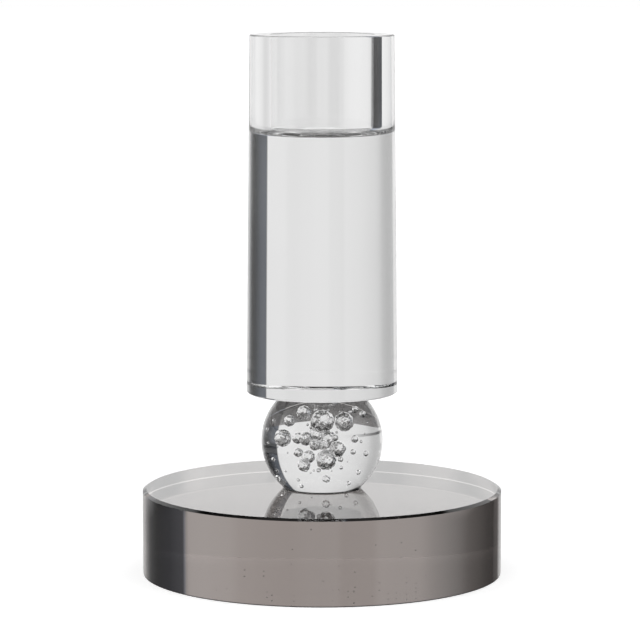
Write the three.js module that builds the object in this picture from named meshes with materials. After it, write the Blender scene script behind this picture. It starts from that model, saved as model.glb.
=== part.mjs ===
// Glass candlestick: a thick smoked glass disc, a clear glass ball, and a tall solid
// glass cup with a blind candle pocket, bonded face to face on one vertical axis.
// Millimetres, +Z up. The origin is the centre of the underside of the base.
import * as THREE from "three";

// ---- driving dimensions ------------------------------------------------------------
const BASE_DIAMETER = 90; // smoked disc
const BASE_HEIGHT = 21.1;
const BASE_TOP_BEVEL_RUN = 0.95; // ground bevel round the top, flatter than 45 degrees
const BASE_TOP_BEVEL_DROP = 0.55;
const BASE_FOOT_CHAMFER = 0.1;

const BALL_DIAMETER = 30.4; // ball, ground flat at both poles
const BALL_CENTRE_Z = 33.1;

const BOND_THICKNESS = 0.15; // clear adhesive film under and over the ball
const BOND_DIAMETER = 19.8; // the film squeezes out a little past the ground flat

const CUP_BOTTOM_Z = 45.2;
const CUP_HEIGHT = 89.4;
const CUP_BOTTOM_DIAMETER = 37.7; // the outside tapers slightly towards the rim
const CUP_TOP_DIAMETER = 35.9;
const CUP_FOOT_CHAMFER = 0.5;
const CUP_RIM_BEVEL_RUN = 0.4; // bevels on both edges of the rim
const CUP_RIM_BEVEL_DROP = 0.3;

const POCKET_DIAMETER = 25.6; // takes a standard dinner candle with a 22 to 24 mm foot
const POCKET_DEPTH = 24.8;
const POCKET_FLOOR_FILLET = 2.2;

const SEGMENTS = 96; // sides of the turned shapes
const BASE_SEGMENTS = 120;
const BOND_SEGMENTS = 64;
const BALL_RINGS = 24;

// ---- derived levels ----------------------------------------------------------------
const BASE_TOP_Z = BASE_HEIGHT;
const BALL_FLAT_LOW_Z = BASE_TOP_Z + BOND_THICKNESS;
const BALL_FLAT_HIGH_Z = CUP_BOTTOM_Z - BOND_THICKNESS;
const CUP_TOP_Z = CUP_BOTTOM_Z + CUP_HEIGHT;

// ---- materials ---------------------------------------------------------------------
const clearGlass = () =>
  new THREE.MeshStandardMaterial({
    color: 0xe9ecea,
    roughness: 0.03,
    metalness: 0,
    transparent: true,
    opacity: 0.35,
  });
const smokedGlass = () =>
  new THREE.MeshStandardMaterial({
    color: 0x8f8783,
    roughness: 0.03,
    metalness: 0,
    transparent: true,
    opacity: 0.75,
  });
const adhesive = () =>
  new THREE.MeshStandardMaterial({
    color: 0xc9cbca,
    roughness: 0.1,
    metalness: 0,
    transparent: true,
    opacity: 0.6,
  });

// ---- helpers -----------------------------------------------------------------------
// A solid of revolution about Z. The profile is a list of [radius, height], running up
// the outside from the axis at the bottom to the axis at the top.
function turned(profile, segments) {
  const points = profile.map(([r, z]) => new THREE.Vector2(r, z));
  const geometry = new THREE.LatheGeometry(points, segments);
  geometry.rotateX(Math.PI / 2); // the lathe turns about Y
  return geometry;
}

function node(name, geometry, material, z = 0) {
  const mesh = new THREE.Mesh(geometry, material);
  mesh.name = name;
  mesh.position.z = z;
  return mesh;
}

const group = new THREE.Group();

// ---- base: smoked disc with ground top and foot edges -------------------------------
{
  const r = BASE_DIAMETER / 2;
  group.add(
    node(
      "base_disc",
      turned(
        [
          [0, 0],
          [r - BASE_FOOT_CHAMFER, 0],
          [r, BASE_FOOT_CHAMFER],
          [r, BASE_HEIGHT - BASE_TOP_BEVEL_DROP],
          [r - BASE_TOP_BEVEL_RUN, BASE_HEIGHT],
          [0, BASE_HEIGHT],
        ],
        BASE_SEGMENTS,
      ),
      smokedGlass(),
    ),
  );
}

// ---- adhesive films -----------------------------------------------------------------
const film = () =>
  turned(
    [
      [0, 0],
      [BOND_DIAMETER / 2, 0],
      [BOND_DIAMETER / 2, BOND_THICKNESS],
      [0, BOND_THICKNESS],
    ],
    BOND_SEGMENTS,
  );
group.add(node("base_bond", film(), adhesive(), BASE_TOP_Z));
group.add(node("cup_bond", film(), adhesive(), BALL_FLAT_HIGH_Z));

// ---- ball: a sphere between its two ground flats ------------------------------------
{
  const r = BALL_DIAMETER / 2;
  const low = BALL_FLAT_LOW_Z - BALL_CENTRE_Z;
  const high = BALL_FLAT_HIGH_Z - BALL_CENTRE_Z;
  const from = Math.asin(low / r);
  const to = Math.asin(high / r);
  const profile = [[0, low]];
  for (let i = 0; i <= BALL_RINGS; i++) {
    const a = from + ((to - from) * i) / BALL_RINGS;
    profile.push([r * Math.cos(a), r * Math.sin(a)]);
  }
  profile.push([0, high]);
  group.add(
    node("bubble_ball", turned(profile, SEGMENTS), clearGlass(), BALL_CENTRE_Z),
  );
}

// ---- cup: solid below, with a flat-bottomed candle pocket in its top ----------------
{
  const foot = CUP_BOTTOM_DIAMETER / 2;
  const rim = CUP_TOP_DIAMETER / 2;
  const bore = POCKET_DIAMETER / 2;
  const floor = CUP_HEIGHT - POCKET_DEPTH;
  const outside = (z) => foot + ((rim - foot) * z) / CUP_HEIGHT;
  const profile = [
    [0, 0],
    [foot - CUP_FOOT_CHAMFER, 0],
    [outside(CUP_FOOT_CHAMFER), CUP_FOOT_CHAMFER],
    [
      outside(CUP_HEIGHT - CUP_RIM_BEVEL_DROP),
      CUP_HEIGHT - CUP_RIM_BEVEL_DROP,
    ],
    [rim - CUP_RIM_BEVEL_RUN, CUP_HEIGHT],
    [bore + CUP_RIM_BEVEL_RUN, CUP_HEIGHT],
    [bore, CUP_HEIGHT - CUP_RIM_BEVEL_DROP],
  ];
  // the pocket wall turns into its floor on a quarter-round fillet
  for (let i = 0; i <= 5; i++) {
    const a = ((Math.PI / 2) * i) / 5;
    profile.push([
      bore - POCKET_FLOOR_FILLET * (1 - Math.cos(a)),
      floor + POCKET_FLOOR_FILLET * (1 - Math.sin(a)),
    ]);
  }
  profile.push([0, floor]);
  group.add(
    node("candle_cup", turned(profile, SEGMENTS), clearGlass(), CUP_BOTTOM_Z),
  );
}

export default group;
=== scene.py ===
import math

import bmesh
import bpy
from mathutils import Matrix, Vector


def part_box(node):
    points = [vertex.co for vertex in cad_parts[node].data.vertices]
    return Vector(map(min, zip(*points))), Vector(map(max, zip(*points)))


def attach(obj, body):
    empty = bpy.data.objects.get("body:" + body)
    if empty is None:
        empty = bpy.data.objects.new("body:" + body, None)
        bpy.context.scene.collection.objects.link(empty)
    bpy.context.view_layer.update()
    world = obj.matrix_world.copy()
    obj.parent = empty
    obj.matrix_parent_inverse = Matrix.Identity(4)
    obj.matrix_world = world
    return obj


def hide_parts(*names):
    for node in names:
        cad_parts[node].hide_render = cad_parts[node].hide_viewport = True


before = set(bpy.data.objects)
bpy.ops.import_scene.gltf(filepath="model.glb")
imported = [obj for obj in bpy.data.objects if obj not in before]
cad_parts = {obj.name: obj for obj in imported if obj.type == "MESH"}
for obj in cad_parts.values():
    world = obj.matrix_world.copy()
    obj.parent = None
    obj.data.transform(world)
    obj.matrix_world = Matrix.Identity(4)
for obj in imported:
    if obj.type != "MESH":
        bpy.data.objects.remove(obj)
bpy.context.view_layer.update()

MM = 0.001

# ---------------------------------------------------------------------------------
# camera: a long lens a little above the cup's rim, looking slightly down
# ---------------------------------------------------------------------------------
cam_data = bpy.data.cameras.new("camera")
cam_data.sensor_width = 36.0
cam_data.lens = 3339.8 / 640.0 * 36.0
cam_data.clip_start = 0.05
cam_data.clip_end = 50.0
camera = bpy.data.objects.new("camera", cam_data)
camera.location = (-0.0005, -0.8279, 0.1645)
camera.rotation_euler = (math.radians(90.0 - 6.96), 0.0, 0.0)
bpy.context.scene.collection.objects.link(camera)
bpy.context.scene.camera = camera

scene = bpy.context.scene
scene.view_settings.view_transform = "Standard"
scene.view_settings.look = "None"
scene.view_settings.exposure = 0.0
scene.view_settings.gamma = 1.0
scene.cycles.max_bounces = 32
scene.cycles.transmission_bounces = 32
scene.cycles.glossy_bounces = 16
scene.cycles.diffuse_bounces = 4
scene.cycles.volume_bounces = 2
scene.cycles.transparent_max_bounces = 32
scene.cycles.sample_clamp_indirect = 0.0
scene.cycles.caustics_refractive = True
scene.cycles.caustics_reflective = True


# ---------------------------------------------------------------------------------
# node helpers
# ---------------------------------------------------------------------------------
class Nodes:
    """Builds a node tree by short calls."""

    def __init__(self, tree):
        self.tree = tree
        tree.nodes.clear()

    def add(self, kind, **settings):
        made = self.tree.nodes.new(kind)
        for key, value in settings.items():
            setattr(made, key, value)
        return made

    def link(self, a, b):
        self.tree.links.new(a, b)

    def feed(self, socket, value):
        if isinstance(value, bpy.types.NodeSocket):
            self.link(value, socket)
        else:
            socket.default_value = value

    def math(self, operation, a, b=None, c=None, clamp=False):
        made = self.add("ShaderNodeMath", operation=operation, use_clamp=clamp)
        for socket, value in zip(made.inputs, (a, b, c)):
            if value is not None:
                self.feed(socket, value)
        return made.outputs[0]

    def ramp(self, value, stops, interpolation="LINEAR"):
        made = self.add("ShaderNodeValToRGB")
        ramp = made.color_ramp
        ramp.interpolation = interpolation
        while len(ramp.elements) > 1:
            ramp.elements.remove(ramp.elements[-1])
        for k, (position, grey) in enumerate(stops):
            element = ramp.elements[0] if k == 0 else ramp.elements.new(position)
            element.position = position
            colour = grey if isinstance(grey, tuple) else (grey, grey, grey)
            element.color = (*colour, 1.0)
        self.link(value, made.inputs[0])
        return made.outputs[0]

    def remap(self, value, a0, a1, b0, b1, smooth=False):
        made = self.add("ShaderNodeMapRange")
        made.interpolation_type = "SMOOTHSTEP" if smooth else "LINEAR"
        made.clamp = True
        self.feed(made.inputs["Value"], value)
        for key, number in (("From Min", a0), ("From Max", a1), ("To Min", b0), ("To Max", b1)):
            made.inputs[key].default_value = number
        return made.outputs[0]

    def noise(self, vector, scale, detail=2.0, roughness=0.5):
        made = self.add("ShaderNodeTexNoise")
        self.link(vector, made.inputs["Vector"])
        made.inputs["Scale"].default_value = scale
        made.inputs["Detail"].default_value = detail
        made.inputs["Roughness"].default_value = roughness
        return made.outputs[0]


# ---------------------------------------------------------------------------------
# studio: a soft lit panel, with a dark flag to the right of the set and softer grey
# falling off to the left, as glass is lit so that its edges draw themselves
# ---------------------------------------------------------------------------------
world = bpy.data.worlds.new("studio")
scene.world = world
world.use_nodes = True
w = Nodes(world.node_tree)
coords = w.add("ShaderNodeTexCoord")
xyz = w.add("ShaderNodeSeparateXYZ")
w.link(coords.outputs["Generated"], xyz.inputs[0])
DX, DY, DZ = xyz.outputs
# bearing round the set in degrees: 0 along +Y, 90 along +X
bearing = w.math("MULTIPLY", w.math("ARCTAN2", DX, DY), 180.0 / math.pi)
height = w.math("MULTIPLY", w.math("ARCSINE", DZ), 180.0 / math.pi)
tilt = w.math("ABSOLUTE", height)
path = w.add("ShaderNodeLightPath")
mirrored = w.math("MINIMUM", path.outputs["Glossy Depth"], 1.0)


def band(stops):
    """Brightness round the set, from (bearing, value) stops."""
    return w.ramp(
        w.math("DIVIDE", w.math("ADD", bearing, 180.0), 360.0),
        [((a + 180.0) / 360.0, v) for a, v in stops],
    )


def mix(factor, a, b):
    made = w.add("ShaderNodeMix", data_type="FLOAT")
    w.link(factor, made.inputs["Factor"])
    w.feed(made.inputs["A"], a)
    w.feed(made.inputs["B"], b)
    return made.outputs["Result"]


# near the horizon: the lit panel behind, the dark flag on the right of the set, the grey
# fall-off on its left, and a second flag behind the camera
level = band([
    (-180.0, 0.45), (-172.0, 0.45), (-160.0, 0.14), (-138.0, 0.10), (-127.0, 0.20), (-119.0, 0.80),
    (-100.0, 0.95), (-85.0, 0.98), (-76.0, 0.93), (-66.0, 0.73), (-58.0, 0.61), (-50.0, 0.56),
    (-43.0, 0.58), (-36.0, 0.66), (-22.0, 0.74), (0.0, 0.79),
    (20.0, 0.80), (35.3, 0.79), (36.1, 0.12), (44.0, 0.085), (51.0, 0.03), (57.0, 0.0),
    (61.0, 0.0), (67.0, 0.03), (73.0, 0.20), (81.0, 0.74), (90.0, 0.96), (140.0, 0.90), (180.0, 0.45),
])
# a little higher and lower the fall-off on the left is deeper
sides = band([
    (-180.0, 0.55), (-172.0, 0.50), (-160.0, 0.12), (-138.0, 0.10), (-127.0, 0.20), (-119.0, 0.75),
    (-100.0, 0.85), (-88.0, 0.60), (-78.0, 0.25), (-66.0, 0.10), (-57.0, 0.13), (-50.0, 0.19),
    (-42.0, 0.25), (-37.0, 0.30), (-32.0, 0.38), (-27.0, 0.50), (-22.0, 0.68), (-12.0, 0.75), (0.0, 0.75),
    (16.0, 0.80), (34.0, 0.76), (36.3, 0.74), (37.1, 0.12), (44.0, 0.09), (51.0, 0.06), (57.0, 0.02),
    (66.0, 0.02), (73.0, 0.16), (81.0, 0.60), (95.0, 0.90), (140.0, 0.80), (180.0, 0.55),
])
lower = w.math(
    "MULTIPLY",
    w.remap(w.math("ADD", tilt, w.remap(bearing, -72.0, -40.0, 0.7, 0.0)), 9.9, 10.4, 0.0, 1.0, smooth=True),
    w.remap(tilt, 11.9, 12.3, 1.0, 0.0, smooth=True),
)
lower = w.math("MULTIPLY", lower, w.math("MAXIMUM", mirrored, w.math("LESS_THAN", height, 0.0)))
around = mix(lower, level, sides)
# a narrow flag behind the camera's right shoulder
narrow = w.math(
    "MULTIPLY",
    w.remap(bearing, 142.0, 149.0, 0.0, 1.0, smooth=True),
    w.remap(bearing, 166.0, 172.0, 1.0, 0.0, smooth=True),
)
around = w.math("MULTIPLY", around, w.math("SUBTRACT", 1.0, w.math("MULTIPLY", narrow, 0.85)))
# the right flag is blackest along its middle, and stands on a table of middling grey
flag = w.math(
    "MULTIPLY",
    w.remap(bearing, 36.0, 37.5, 0.0, 1.0, smooth=True),
    w.remap(bearing, 64.0, 76.0, 1.0, 0.0, smooth=True),
)
around = w.math(
    "MULTIPLY", around,
    w.math("SUBTRACT", 1.0, w.math("MULTIPLY", flag, w.remap(tilt, 4.0, 4.8, 0.7, 0.0, smooth=True))),
)
around = w.math("MAXIMUM", around, w.remap(height, -25.0, -14.0, 0.42, 0.0, smooth=True))
# the room is dark far below the table's edge, and above the panel up to a ring of light
# overhead, with two soft boxes in it
around = w.math("MULTIPLY", around, w.remap(height, -43.0, -40.0, 0.03, 1.0, smooth=True))
ahead = w.remap(w.math("ABSOLUTE", bearing), 25.0, 30.0, 10.0, 0.0, smooth=True)
above = w.remap(w.math("SUBTRACT", height, ahead), 42.0, 46.0, 0.0, 1.0, smooth=True)
boxes = w.math("MULTIPLY", w.remap(height, 61.0, 65.0, 0.0, 1.0, smooth=True), w.remap(height, 79.0, 83.0, 1.0, 0.1, smooth=True))
boxes = w.math("MULTIPLY", boxes, band([
    (-180.0, 0.6), (-156.0, 0.6), (-150.0, 1.0), (-104.0, 1.0), (-98.0, 0.6), (-74.0, 0.5), (-56.0, 0.04),
    (54.0, 0.04), (68.0, 0.5), (78.0, 1.0), (124.0, 1.0), (130.0, 0.6), (180.0, 0.6),
]))
sky = mix(above, around, w.math("ADD", w.math("MULTIPLY", boxes, 3.6), 0.03))
# the flag is a little blue
tinted = w.add("ShaderNodeMix", data_type="RGBA", blend_type="MULTIPLY")
w.link(flag, tinted.inputs["Factor"])
w.link(sky, tinted.inputs[6])
tinted.inputs[7].default_value = (0.90, 0.99, 1.16, 1.0)
lit = w.add("ShaderNodeBackground")
w.link(tinted.outputs[2], lit.inputs["Color"])
# mirrored light: more from the lower face of the panel and from the horizon, less from
# the table on the right
share = w.math("MULTIPLY", w.remap(height, 8.7, 9.4, 0.0, 0.62, smooth=True), w.remap(height, 10.5, 11.2, 1.0, 0.08, smooth=True))
share = w.math("MULTIPLY", share, w.remap(w.math("ABSOLUTE", bearing), 80.0, 120.0, 1.0, 0.0, smooth=True))
higher = w.math("MULTIPLY", w.remap(height, 12.5, 17.0, 0.0, 0.24, smooth=True), w.remap(w.math("ABSOLUTE", bearing), 60.0, 85.0, 1.0, 0.3, smooth=True))
share = w.math("ADD", share, higher)
dimmer = w.math(
    "MULTIPLY",
    w.math("MULTIPLY", w.remap(bearing, 20.0, 28.0, 0.0, -0.8, smooth=True), w.remap(bearing, 60.0, 90.0, 1.0, 0.0, smooth=True)),
    w.math("MULTIPLY", w.remap(height, -13.5, -12.5, 0.0, 1.0, smooth=True), w.remap(height, -9.5, -9.0, 1.0, 0.0, smooth=True)),
)
share = w.math("ADD", share, dimmer)
share = w.math("ADD", share, w.remap(tilt, 4.2, 5.2, 0.17, -0.05, smooth=True))
w.link(w.math("ADD", 1.0, w.math("MULTIPLY", mirrored, share)), lit.inputs["Strength"])
seen = w.add("ShaderNodeBackground")
seen.inputs["Color"].default_value = (1.0, 1.0, 1.0, 1.0)
choose = w.add("ShaderNodeMixShader")
w.link(path.outputs["Is Camera Ray"], choose.inputs[0])
w.link(lit.outputs[0], choose.inputs[1])
w.link(seen.outputs[0], choose.inputs[2])
out = w.add("ShaderNodeOutputWorld")
w.link(choose.outputs[0], out.inputs["Surface"])


# ---------------------------------------------------------------------------------
# mesh helpers
# ---------------------------------------------------------------------------------
def new_object(name, verts, faces, sharp=(), flat=()):
    """A mesh object, smooth except across the edges in sharp; flat is not used."""
    mesh = bpy.data.meshes.new(name)
    mesh.from_pydata(verts, [], faces)
    mesh.validate()
    mesh.update()
    mesh.polygons.foreach_set("use_smooth", [True] * len(mesh.polygons))
    wanted = {tuple(sorted(e)) for e in sharp}
    if wanted:
        for e in mesh.edges:
            if tuple(sorted(e.vertices)) in wanted:
                e.use_edge_sharp = True
    made = bpy.data.objects.new(name, mesh)
    scene.collection.objects.link(made)
    return made


def arc(cx, cz, r, a0, a1, n):
    """Points of an arc in the profile plane, angles in degrees."""
    return [
        (cx + r * math.cos(math.radians(a0 + (a1 - a0) * i / n)),
         cz + r * math.sin(math.radians(a0 + (a1 - a0) * i / n)))
        for i in range(n + 1)
    ]


def turned(sections, segments, move=None):
    """A closed surface of revolution about Z, in metres. sections is the profile from the
    axis at the bottom to the axis at the top, in smooth stretches that share their end
    points; the seams between stretches are sharp. move(x, y, z, section) may shift points."""
    verts, faces, sharp = [], [], []
    rings = []
    last = None
    for s, section in enumerate(sections):
        for k, (r, z) in enumerate(section):
            if k == 0 and last is not None:
                continue
            if r < 1e-9:
                x, y, zz = (0.0, 0.0, z) if move is None else move(0.0, 0.0, z, s)
                rings.append([len(verts)])
                verts.append((x, y, zz))
            else:
                ring = []
                for j in range(segments):
                    a = 2.0 * math.pi * j / segments
                    p = (r * math.cos(a), r * math.sin(a), z)
                    if move is not None:
                        p = move(*p, s)
                    ring.append(len(verts))
                    verts.append(p)
                rings.append(ring)
            last = (r, z)
        if s < len(sections) - 1:
            ring = rings[-1]
            sharp += [(ring[j], ring[(j + 1) % segments]) for j in range(segments)]
    for low, high in zip(rings, rings[1:]):
        for j in range(segments):
            k = (j + 1) % segments
            if len(low) == 1:
                faces.append((low[0], high[k], high[j]))
            elif len(high) == 1:
                faces.append((low[j], low[k], high[0]))
            else:
                faces.append((low[j], low[k], high[k], high[j]))
    return verts, faces, sharp


def ball_of_air(centre, radius, detail, seed, squash=1.0, ripple=0.0):
    """An air bubble's wall: an icosphere a little out of round, its faces pointing inwards."""
    bm = bmesh.new()
    bmesh.ops.create_icosphere(bm, subdivisions=detail, radius=1.0)
    verts = []
    for v in bm.verts:
        x, y, z = v.co
        k = 1.0 + 0.018 * math.sin(2.1 * x + 1.3 * seed) + 0.015 * math.sin(2.6 * y + 0.7 * seed) \
            + 0.015 * math.sin(2.3 * z + 2.1 * seed) \
            + ripple * math.sin(6.3 * x + 4.1 * y + seed) * math.sin(5.2 * z - 3.7 * x + 1.9 * seed) \
            + 0.6 * ripple * math.sin(9.1 * z + 7.3 * y - 2.3 * seed) * math.cos(8.2 * x + 0.8 * seed) \
            + 0.32 * ripple * math.sin(15.0 * x - 11.0 * z + 3.1 * seed) * math.cos(13.0 * y + 9.0 * z - seed)
        verts.append((centre[0] + radius * k * x, centre[1] + radius * k * y,
                      centre[2] + radius * k * z * squash))
    faces = [tuple(v.index for v in reversed(f.verts)) for f in bm.faces]
    bm.free()
    return verts, faces


# ---------------------------------------------------------------------------------
# materials
# ---------------------------------------------------------------------------------
def glass(name, polish=0.012, wave=0.02, wave_scale=90.0, smoke=None, tint=(1.0, 1.0, 1.0)):
    """Polished glass: faint polishing haze and a slow waviness left by the fire and the wheel."""
    made = bpy.data.materials.new(name)
    made.use_nodes = True
    n = Nodes(made.node_tree)
    coords = n.add("ShaderNodeTexCoord")
    where = coords.outputs["Object"]
    haze = n.remap(n.noise(where, 220.0, 4.0, 0.6), 0.45, 0.75, 0.0, polish, smooth=True)
    swell = n.noise(where, wave_scale, 1.0, 0.4)
    bump = n.add("ShaderNodeBump")
    bump.inputs["Strength"].default_value = wave
    bump.inputs["Distance"].default_value = 0.001
    n.link(swell, bump.inputs["Height"])
    shader = n.add("ShaderNodeBsdfPrincipled")
    shader.inputs["Base Color"].default_value = (*tint, 1.0)
    shader.inputs["IOR"].default_value = 1.5
    shader.inputs["Transmission Weight"].default_value = 1.0
    n.link(haze, shader.inputs["Roughness"])
    n.link(bump.outputs[0], shader.inputs["Normal"])
    out = n.add("ShaderNodeOutputMaterial")
    n.link(shader.outputs[0], out.inputs["Surface"])
    if smoke:
        volume = n.add("ShaderNodeVolumeAbsorption")
        volume.inputs["Color"].default_value = (*smoke[0], 1.0)
        volume.inputs["Density"].default_value = smoke[1]
        n.link(volume.outputs[0], out.inputs["Volume"])
    return made


CLEAR = glass("clear_glass", polish=0.004, wave=0.003)
BUBBLY = glass("bubble_glass", polish=0.004, wave=0.008)
SMOKED = glass("smoked_glass", polish=0.004, wave=0.0012, smoke=((0.48, 0.41, 0.377), 20.0))
FILM = glass("adhesive_film", polish=0.2, wave=0.05, tint=(0.30, 0.30, 0.29))

# ---------------------------------------------------------------------------------
# base disc
# ---------------------------------------------------------------------------------
SEEDS = [
    (-2.4, -32.1, 17.11, 0.219), (-5.5, -11.8, 9.63, 0.134), (-5.4, -6.3, 5.18, 0.134), (-13.2, -35.3, 7.18, 0.168),
    (-12.6, -29.0, 5.17, 0.168), (-11.1, 14.1, 0.84, 0.168), (0.2, -35.3, 4.96, 0.186), (17.2, -28.0, 13.11, 0.168),
    (12.9, 17.0, 5.34, 0.152), (9.3, -4.0, 9.65, 0.134), (15.4, -15.4, 7.79, 0.168), (10.5, -9.7, 0.97, 0.186),
    (14.1, 0.8, 0.7, 0.152), (21.0, -17.1, 3.32, 0.168), (20.3, -25.8, 2.71, 0.168), (5.3, 3.7, 1.93, 0.168),
    (6.8, -28.5, 1.45, 0.235), (-10.9, -30.3, 0.7, 0.186), (-11.5, -24.6, 0.7, 0.152), (-6.1, -30.7, 0.7, 0.134),
    (5.3, -23.1, 0.7, 0.152), (11.4, -35.8, 1.17, 0.168), (14.3, -28.4, 0.7, 0.168), (16.0, -27.6, 0.7, 0.152),
    (18.7, -30.0, 0.7, 0.186), (20.1, -24.6, 1.29, 0.152), (-29.8, -9.3, 15.49, 0.168), (-14.4, 9.5, 3.53, 0.134),
    (2.6, 7.5, 3.01, 0.117), (25.2, -22.6, 6.25, 0.134), (23.4, -1.8, 7.73, 0.152), (-23.7, -28.4, 1.23, 0.134),
    (-3.0, -34.5, 6.78, 0.117), (2.2, -25.0, 1.34, 0.134),
]
lo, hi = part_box("base_disc")
R = (hi.x - lo.x) / 2
H = hi.z
run, drop = 0.95 * MM, 0.55 * MM
verts, faces, sharp = turned(
    [
        [(0.0, lo.z), (R, lo.z)],
        [(R, lo.z), (R, H - drop)],
        [(R, H - drop), (R - run, H)],
        [(R - run, H), (0.0, H)],
    ],
    320,
)
for k, (x, y, z, r) in enumerate(SEEDS):
    v, fc = ball_of_air((x * MM, y * MM, z * MM), r * MM, 2, k)
    base = len(verts)
    verts += v
    faces += [tuple(i + base for i in q) for q in fc]
disc = new_object("smoked_disc", verts, faces, sharp)
disc.data.materials.append(SMOKED)
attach(disc, "root")
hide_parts("base_disc")

# ---------------------------------------------------------------------------------
# adhesive films: a thin disc whose squeezed-out edge wets the ball in a small hollow bead,
# a hair clear of the glass
# ---------------------------------------------------------------------------------
lo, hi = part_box("bubble_ball")
R = (hi.x - lo.x) / 2
CZ = 33.1 * MM
FLAT = math.sqrt(R * R - (CZ - lo.z) ** 2)
for node, side in (("base_bond", 1.0), ("cup_bond", -1.0)):
    lo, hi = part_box(node)
    r = (hi.x - lo.x) / 2
    gap = 0.01 * MM
    # heights run from the flat glass (0) towards the ball
    wet = r - 0.20 * MM
    rise = CZ - math.sqrt(R * R - wet * wet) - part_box("bubble_ball")[0].z + (hi.z - lo.z) - 2 * gap
    t = hi.z - lo.z - gap
    bead = [(r, gap)] + [
        (wet + (r - wet) * (1 - math.sin(math.radians(90 * i / 6))), gap + (rise - gap) * (1 - math.cos(math.radians(90 * i / 6))))
        for i in range(1, 7)
    ]
    sections = [
        [(0.0, gap), (r, gap)],
        bead,
        [(wet, rise), (FLAT, t)],
        [(FLAT, t), (0.0, t)],
    ]
    ground = lo.z if side > 0 else hi.z
    verts, faces, sharp = turned([[(q, ground + side * h) for q, h in part] for part in sections], 160)
    if side < 0:
        faces = [tuple(reversed(q)) for q in faces]
    film = new_object(node + "_film", verts, faces, sharp)
    film.data.materials.append(FILM)
    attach(film, "root")
    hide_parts(node)

# ---------------------------------------------------------------------------------
# ball with its bubbles; centres and radii in millimetres from the ball's centre
# ---------------------------------------------------------------------------------
BUBBLES = [
    (0.02, -4.97, 4.51, 2.341), (4.48, -4.8, 4.53, 1.957), (-3.16, -0.42, 4.96, 1.338), (-5.55, 0.62, 3.24, 0.981),
    (-7.81, -3.51, 1.0, 1.803), (-3.84, 2.04, 0.04, 0.915), (-2.94, -2.08, 0.56, 1.26), (-1.07, 0.2, 0.86, 1.203),
    (1.05, 1.55, -0.12, 1.432), (2.72, -1.42, -1.32, 1.453), (-1.36, -5.16, -0.11, 1.126), (0.22, -2.51, -0.47, 0.935),
    (2.6, -5.7, 1.36, 0.678), (-4.24, -1.95, -1.92, 0.848), (-2.28, 0.58, -2.85, 1.126), (-3.33, -2.55, -4.23, 1.235),
    (0.82, -3.7, -3.12, 1.942), (4.71, 5.41, 3.52, 0.473), (6.4, 3.3, 3.56, 0.552), (5.07, -0.21, 5.08, 0.372),
    (5.62, -0.32, 0.27, 0.683), (7.01, -1.1, -0.09, 0.279), (5.12, 0.77, -2.07, 0.48), (8.16, -1.72, -2.23, 0.602),
    (3.68, -5.61, -2.98, 0.585), (3.13, 0.38, -4.61, 0.347), (6.04, 0.74, -5.55, 0.458), (4.62, -0.34, -7.54, 0.46),
    (0.79, -3.54, -6.8, 0.804), (-0.7, -7.07, -5.15, 0.487), (-4.62, -3.67, -7.27, 0.343), (-3.16, 1.98, -7.57, 0.338),
    (-7.05, -3.09, -5.63, 0.239), (-8.38, 0.72, -3.48, 0.407), (-8.95, -2.4, -5.82, 0.468), (-6.63, 3.59, -6.37, 0.542),
    (-7.7, -3.17, -8.37, 0.304), (-10.24, -0.59, -0.44, 0.327), (-9.2, 2.61, 1.36, 0.365), (-9.27, -0.52, 3.81, 0.477),
    (-1.13, -2.68, 6.21, 0.489), (0.25, -6.55, 7.48, 0.243), (1.3, -3.77, 6.55, 0.284), (7.98, 0.91, 2.96, 0.228),
    (-4.98, -9.82, -0.64, 0.272), (-1.67, 3.14, -5.37, 0.146), (-3.4, -8.01, -5.38, 0.291), (-1.62, -5.52, -5.22, 0.244),
    (-3.09, -7.8, 4.55, 0.283), (3.13, -8.32, 3.0, 0.281), (-5.89, -10.24, 1.34, 0.233), (-5.61, 1.02, -2.26, 0.149),
    (3.24, 3.2, -1.38, 0.135), (1.58, 0.2, -5.14, 0.149), (5.04, -5.05, -3.54, 0.163), (-0.2, 3.9, 0.92, 0.236),
    (-1.53, 4.06, 1.26, 0.324), (2.89, 1.8, 4.4, 0.166), (-6.3, 4.57, -1.69, 0.125), (9.06, -5.42, 2.21, 0.21),
]
lo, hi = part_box("bubble_ball")
R = (hi.x - lo.x) / 2
CZ = 33.1 * MM
a0 = math.degrees(math.asin((lo.z - CZ) / R))
a1 = math.degrees(math.asin((hi.z - CZ) / R))
skin = arc(0.0, CZ, R, a0, a1, 96)
verts, faces, sharp = turned(
    [[(0.0, lo.z), skin[0]], skin, [skin[-1], (0.0, hi.z)]], 224
)
for k, (x, y, z, r) in enumerate(BUBBLES):
    detail = 5 if r > 0.8 else (4 if r > 0.4 else 3)
    v, fc = ball_of_air((x * MM, y * MM, CZ + z * MM), r * MM, detail, k, 0.985, 0.045 if r > 0.8 else 0.02)
    base = len(verts)
    verts += v
    faces += [tuple(i + base for i in q) for q in fc]
ball = new_object("bubble_ball_glass", verts, faces, sharp)
ball.data.materials.append(BUBBLY)
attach(ball, "root")
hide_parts("bubble_ball")

# ---------------------------------------------------------------------------------
# cup: tapered outside, blind pocket with a slightly uneven ground floor
# ---------------------------------------------------------------------------------
lo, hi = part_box("candle_cup")
foot = (hi.x - lo.x) / 2
rim = 35.9 / 2 * MM
bore = 25.6 / 2 * MM
height_m = hi.z - lo.z
floor_z = hi.z - 24.8 * MM
fillet = 2.2 * MM
rim_run, rim_drop = 0.4 * MM, 0.3 * MM


def rounded(a, b, corner, n=6):
    """A soft corner from a to b, as a quadratic curve towards the sharp corner."""
    made = []
    for i in range(n + 1):
        t = i / n
        made.append(tuple((1 - t) ** 2 * p + 2 * t * (1 - t) * (0.35 * (p + q) / 2 + 0.65 * c) + t * t * q
                          for p, q, c in zip(a, b, corner)))
    return made


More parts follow.
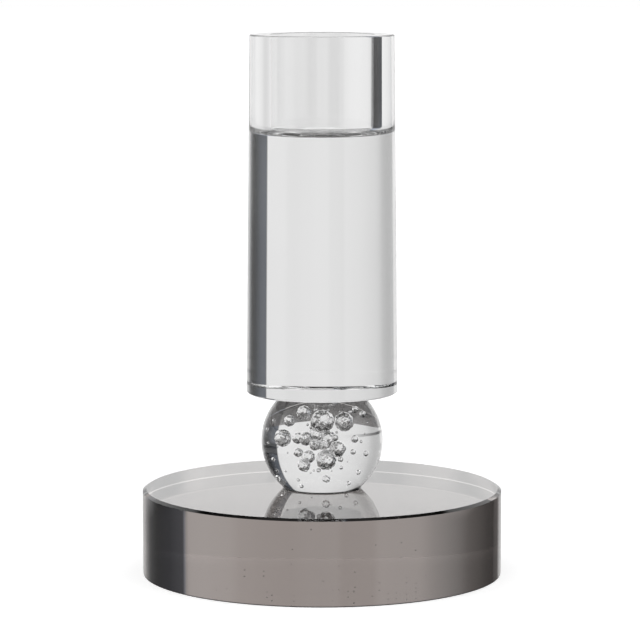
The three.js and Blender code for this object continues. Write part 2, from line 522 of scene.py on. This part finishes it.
def outside(z):
    return foot + (rim - foot) * (z - lo.z) / height_m


def pocket_floor(x, y, z, s):
    """The ground floor of the pocket dips and swells by a few hundredths of a millimetre."""
    if s != 8:
        return x, y, z
    r = math.hypot(x, y)
    fade = min(1.0, max(0.0, (bore - fillet - r) / (1.5 * MM)))
    u, v = x / MM, y / MM
    dz = 0.06 * math.sin(0.55 * u + 0.4) * math.cos(0.47 * v + 1.1) + 0.035 * math.sin(1.3 * u - 0.9 * v + 0.7) \
        + 0.025 * math.sin(0.8 * u + 2.1 * v) + 0.015 * math.sin(3.1 * u + 1.7 * v + 2.0)
    return x, y, z + dz * MM * fade


floor_rings = [((bore - fillet) * (1 - i / 30), floor_z) for i in range(31)]
verts, faces, sharp = turned(
    [
        [(0.0, lo.z), (foot - 0.70 * MM, lo.z)],
        [(foot - 0.70 * MM, lo.z), (foot - 0.36 * MM, lo.z + 0.19 * MM), (outside(lo.z + 0.42 * MM), lo.z + 0.42 * MM)],
        [(outside(lo.z + 0.42 * MM), lo.z + 0.42 * MM), (outside(hi.z - rim_drop), hi.z - rim_drop)],
        rounded((outside(hi.z - rim_drop), hi.z - rim_drop), (rim - rim_run, hi.z), (rim, hi.z)),
        [(rim - rim_run, hi.z), (bore + rim_run, hi.z)],
        rounded((bore + rim_run, hi.z), (bore, hi.z - rim_drop), (bore, hi.z)),
        [(bore, hi.z - rim_drop), (bore, floor_z + fillet)],
        arc(bore - fillet, floor_z + fillet, fillet, 0.0, -90.0, 10),
        floor_rings,
    ],
    320,
    pocket_floor,
)
cup = new_object("candle_cup_glass", verts, faces, sharp)
cup.data.materials.append(CLEAR)
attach(cup, "root")
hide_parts("candle_cup")

# ---------------------------------------------------------------------------------
# floor: a plain pale sweep, lit from below its surface, with an unlit dark patch where the
# disc stands: a painted contact shadow under the disc
# ---------------------------------------------------------------------------------
def plain(name, colour, glow):
    """A matt surface that also glows a little, as a lit sweep does."""
    made = bpy.data.materials.new(name)
    made.use_nodes = True
    n = Nodes(made.node_tree)
    shade = n.add("ShaderNodeBsdfDiffuse")
    shade.inputs["Color"].default_value = (colour, colour, colour, 1.0)
    light = n.add("ShaderNodeEmission")
    light.inputs["Strength"].default_value = glow
    both = n.add("ShaderNodeAddShader")
    n.link(shade.outputs[0], both.inputs[0])
    n.link(light.outputs[0], both.inputs[1])
    out = n.add("ShaderNodeOutputMaterial")
    n.link(both.outputs[0], out.inputs["Surface"])
    return made


def circle(radius, segments=160):
    return [(radius * math.cos(2 * math.pi * j / segments), radius * math.sin(2 * math.pi * j / segments), -0.25 * MM)
            for j in range(segments)]


# the patch's dark grey is painted contact shadow under the smoked disc, darker than the sweep
patch = new_object("painted_shadow_patch", circle(0.0449), [tuple(range(160))])
patch.data.materials.append(plain("painted_shadow_floor", 0.20, 0.0))

ring = [(j, 160 + j, 160 + (j + 1) % 160, (j + 1) % 160) for j in range(160)]
floor = new_object("floor_sweep", circle(0.0449) + circle(5.0), ring)
floor.data.materials.append(plain("floor_pale", 0.8, 0.6))
floor.visible_transmission = False
floor.visible_glossy = False
